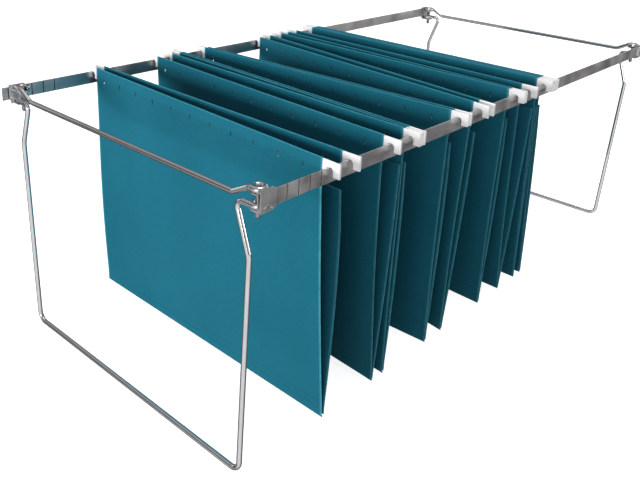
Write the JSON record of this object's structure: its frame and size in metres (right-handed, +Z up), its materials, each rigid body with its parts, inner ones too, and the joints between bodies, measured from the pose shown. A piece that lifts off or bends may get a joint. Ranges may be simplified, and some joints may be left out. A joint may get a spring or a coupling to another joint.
{
  "type": "hanging file rack",
  "caption": "Free-standing rack with flat side rails on wire end frames, joined by pinned corner clips, carrying teal paper folders on hooked rods.",
  "frame": {"origin": "bottom centre of the bounding box, on the floor plane under the foot wires", "axes": "+X along the rails towards the rear end, +Y towards the left rail, +Z up"},
  "size_m": [0.6878, 0.33, 0.2395],
  "materials": {
    "rail_steel": "satin zinc-plated strip",
    "clip_steel": "satin zinc-plated folded sheet",
    "pin_steel": "bright turned steel",
    "wire_chrome": "bright plated wire",
    "folder_paper": "matte dyed heavy paper",
    "rod_steel": "rolled strip",
    "tip_coating": "smooth white dip coating"
  },
  "bodies": {
    "root": {"rail_left": "rail_steel", "rail_right": "rail_steel"},
    "front_end": {"clip_front_left": "clip_steel", "clip_front_right": "clip_steel", "pin_front_left": "pin_steel", "pin_front_right": "pin_steel", "crossbar_front": "wire_chrome", "leg_frame_front": "wire_chrome"},
    "rear_end": {"clip_rear_left": "clip_steel", "clip_rear_right": "clip_steel", "pin_rear_left": "pin_steel", "pin_rear_right": "pin_steel", "crossbar_rear": "wire_chrome", "leg_frame_rear": "wire_chrome"},
    "folder_1": {"folder_1_sheet": "folder_paper", "folder_1_front_rod": "rod_steel", "folder_1_front_tips": "tip_coating"},
    "folder_1_back": {"folder_1_back_rod": "rod_steel", "folder_1_back_tips": "tip_coating"},
    "folder_2": {"folder_2_sheet": "folder_paper", "folder_2_front_rod": "rod_steel", "folder_2_front_tips": "tip_coating"},
    "folder_2_back": {"folder_2_back_rod": "rod_steel", "folder_2_back_tips": "tip_coating"},
    "folder_3": {"folder_3_sheet": "folder_paper", "folder_3_front_rod": "rod_steel", "folder_3_front_tips": "tip_coating"},
    "folder_3_back": {"folder_3_back_rod": "rod_steel", "folder_3_back_tips": "tip_coating"},
    "folder_4": {"folder_4_sheet": "folder_paper", "folder_4_front_rod": "rod_steel", "folder_4_front_tips": "tip_coating"},
    "folder_4_back": {"folder_4_back_rod": "rod_steel", "folder_4_back_tips": "tip_coating"},
    "folder_5": {"folder_5_sheet": "folder_paper", "folder_5_front_rod": "rod_steel", "folder_5_front_tips": "tip_coating"},
    "folder_5_back": {"folder_5_back_rod": "rod_steel", "folder_5_back_tips": "tip_coating"},
    "folder_6": {"folder_6_sheet": "folder_paper", "folder_6_front_rod": "rod_steel", "folder_6_front_tips": "tip_coating"},
    "folder_6_back": {"folder_6_back_rod": "rod_steel", "folder_6_back_tips": "tip_coating"},
    "folder_7": {"folder_7_sheet": "folder_paper", "folder_7_front_rod": "rod_steel", "folder_7_front_tips": "tip_coating"},
    "folder_7_back": {"folder_7_back_rod": "rod_steel", "folder_7_back_tips": "tip_coating"},
    "folder_8": {"folder_8_sheet": "folder_paper", "folder_8_front_rod": "rod_steel", "folder_8_front_tips": "tip_coating"},
    "folder_8_back": {"folder_8_back_rod": "rod_steel", "folder_8_back_tips": "tip_coating"},
    "folder_9": {"folder_9_sheet": "folder_paper", "folder_9_front_rod": "rod_steel", "folder_9_front_tips": "tip_coating"},
    "folder_9_back": {"folder_9_back_rod": "rod_steel", "folder_9_back_tips": "tip_coating"}
  },
  "joints": [
    {"name": "front_end_slide", "type": "slide", "parent": "root", "child": "front_end", "axis": [1, 0, 0], "range_m": [0, 0.025]},
    {"name": "rear_end_slide", "type": "slide", "parent": "root", "child": "rear_end", "axis": [1, 0, 0], "range_m": [-0.075, 0]},
    {"name": "folder_1_slide", "type": "slide", "parent": "root", "child": "folder_1", "axis": [1, 0, 0], "range_m": [-0.026, 0.0181]},
    {"name": "folder_1_open", "type": "slide", "parent": "folder_1", "child": "folder_1_back", "axis": [1, 0, 0], "range_m": [-0.0064, 0.0095]},
    {"name": "folder_2_slide", "type": "slide", "parent": "root", "child": "folder_2", "axis": [1, 0, 0], "range_m": [-0.0191, 0.00068]},
    {"name": "folder_2_open", "type": "slide", "parent": "folder_2", "child": "folder_2_back", "axis": [1, 0, 0], "range_m": [-0.0173, 0]},
    {"name": "folder_3_slide", "type": "slide", "parent": "root", "child": "folder_3", "axis": [1, 0, 0], "range_m": [-0.00068, 0.0106]},
    {"name": "folder_3_open", "type": "slide", "parent": "folder_3", "child": "folder_3_back", "axis": [1, 0, 0], "range_m": [-0.00182, 0.0056]},
    {"name": "folder_4_slide", "type": "slide", "parent": "root", "child": "folder_4", "axis": [1, 0, 0], "range_m": [-0.0112, 0.0101]},
    {"name": "folder_4_open", "type": "slide", "parent": "folder_4", "child": "folder_4_back", "axis": [1, 0, 0], "range_m": [-0.00262, 0.0053]},
    {"name": "folder_5_slide", "type": "slide", "parent": "root", "child": "folder_5", "axis": [1, 0, 0], "range_m": [-0.0107, 0.0058]},
    {"name": "folder_5_open", "type": "slide", "parent": "folder_5", "child": "folder_5_back", "axis": [1, 0, 0], "range_m": [-0.008, 0.003]},
    {"name": "folder_6_slide", "type": "slide", "parent": "root", "child": "folder_6", "axis": [1, 0, 0], "range_m": [-0.0061, 0.005]},
    {"name": "folder_6_open", "type": "slide", "parent": "folder_6", "child": "folder_6_back", "axis": [1, 0, 0], "range_m": [-0.00217, 0.0026]},
    {"name": "folder_7_slide", "type": "slide", "parent": "root", "child": "folder_7", "axis": [1, 0, 0], "range_m": [-0.0052, 0.00059]},
    {"name": "folder_7_open", "type": "slide", "parent": "folder_7", "child": "folder_7_back", "axis": [1, 0, 0], "range_m": [-0.0272, 0]},
    {"name": "folder_8_slide", "type": "slide", "parent": "root", "child": "folder_8", "axis": [1, 0, 0], "range_m": [-0.00059, 0.00059]},
    {"name": "folder_8_open", "type": "slide", "parent": "folder_8", "child": "folder_8_back", "axis": [1, 0, 0], "range_m": [-0.00133, 0]},
    {"name": "folder_9_slide", "type": "slide", "parent": "root", "child": "folder_9", "axis": [1, 0, 0], "range_m": [-0.00059, 0.125]},
    {"name": "folder_9_open", "type": "slide", "parent": "folder_9", "child": "folder_9_back", "axis": [1, 0, 0], "range_m": [-0.00133, 0.035]}
  ]
}
